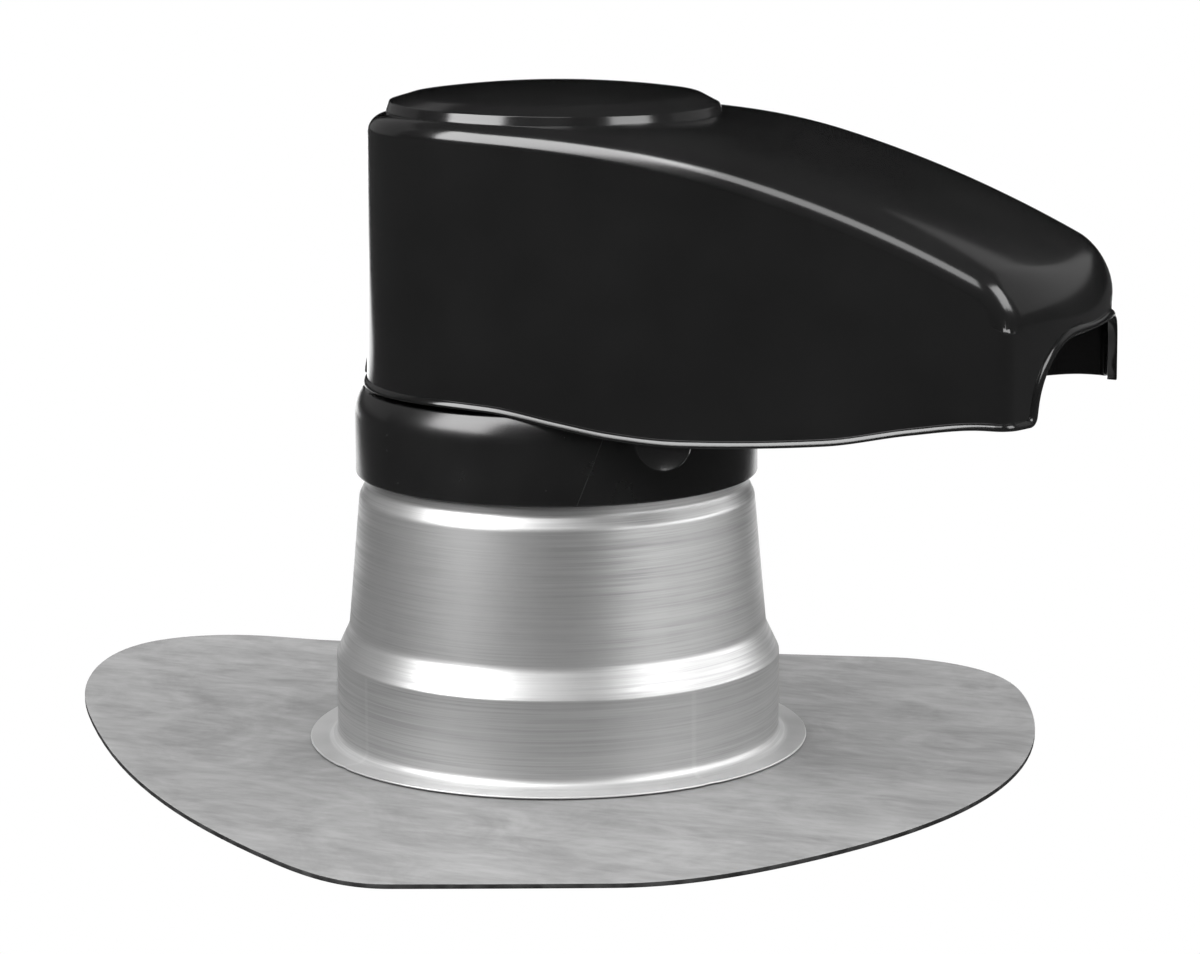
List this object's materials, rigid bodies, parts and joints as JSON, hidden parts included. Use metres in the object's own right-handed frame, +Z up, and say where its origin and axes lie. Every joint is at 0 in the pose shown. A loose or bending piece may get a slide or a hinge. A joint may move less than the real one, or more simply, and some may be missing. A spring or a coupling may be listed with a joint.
{
  "type": "roof pipe flashing with vent hood",
  "caption": "Roof flashing for a vent pipe: soft sheet, spun aluminium cone, plastic collar with a pipe spigot, and a long black vent hood with a round cap.",
  "frame": {"origin": "centre of the sheet's round hole, at the sheet's underside", "axes": "+Z up along the pipe's axis, +X towards the hood's nose"},
  "size_m": [0.5142, 0.4349, 0.2973],
  "materials": {
    "sheet_rubber": "matt, streaky grey",
    "spun_aluminium": "spun, satin",
    "collar_plastic": "satin black",
    "hood_plastic": "glossy black"
  },
  "bodies": {
    "root": {"flashing_sheet": "sheet_rubber", "flashing_cone": "spun_aluminium", "collar": "collar_plastic", "hood": "hood_plastic", "top_cap": "hood_plastic"}
  },
  "joints": []
}
